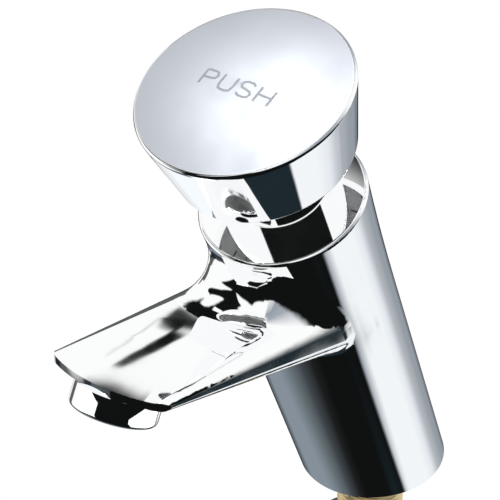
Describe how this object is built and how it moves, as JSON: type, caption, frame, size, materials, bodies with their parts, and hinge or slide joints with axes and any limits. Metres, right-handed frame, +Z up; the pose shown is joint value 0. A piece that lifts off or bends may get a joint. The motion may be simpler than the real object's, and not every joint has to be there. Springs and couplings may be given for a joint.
{
  "type": "push timed tap",
  "caption": "Deck-mounted push timed tap: leaning round column, flat tapered spout with aerator, broad conical push button, threaded tail with backnut.",
  "frame": {"origin": "centre of the tap hole on the deck's surface, in the plane of the column's foot", "axes": "+Z up from the deck, -Y the way the spout points, +X to the right for someone who looks along +Y from the front; mirror plane X = 0"},
  "size_m": [0.0562, 0.1502, 0.229],
  "materials": {
    "chrome": "mirror polished plating",
    "button_chrome": "mirror sides, fine satin top",
    "brass": "machined",
    "steel": "turned stainless steel",
    "rubber": "matt",
    "plastic": "moulded acetal"
  },
  "bodies": {
    "tap": {"tap_body": "chrome", "base_gasket": "rubber", "inlet_shank": "brass", "shank_seal": "rubber", "clamp_rubber": "rubber", "clamp_washer": "steel", "backnut": "brass", "flow_regulator": "plastic", "inlet_filter": "plastic", "aerator_housing": "chrome", "aerator_insert": "plastic", "aerator_washer": "rubber", "valve_seat": "brass", "seat_seal": "rubber", "cartridge_housing": "plastic", "cartridge_head": "brass", "head_seal": "rubber", "spindle_seals": "rubber", "neck_sleeve": "chrome", "sleeve_nut": "brass", "return_spring": "steel"},
    "button": {"button_cap": "button_chrome", "button_hub": "plastic", "grub_screw": "steel", "spindle": "steel", "cup_seal": "rubber", "piston": "plastic", "piston_clip": "steel", "valve_washer": "rubber", "valve_plunger": "brass", "valve_nut": "steel"}
  },
  "joints": [
    {"name": "button_press", "type": "slide", "parent": "tap", "child": "button", "axis": [0, 0.3939, -0.9191], "range_m": [0, 0.008], "stiffness_N_per_m": 2100, "springref_m": -0.006, "deforming": ["return_spring"]}
  ]
}
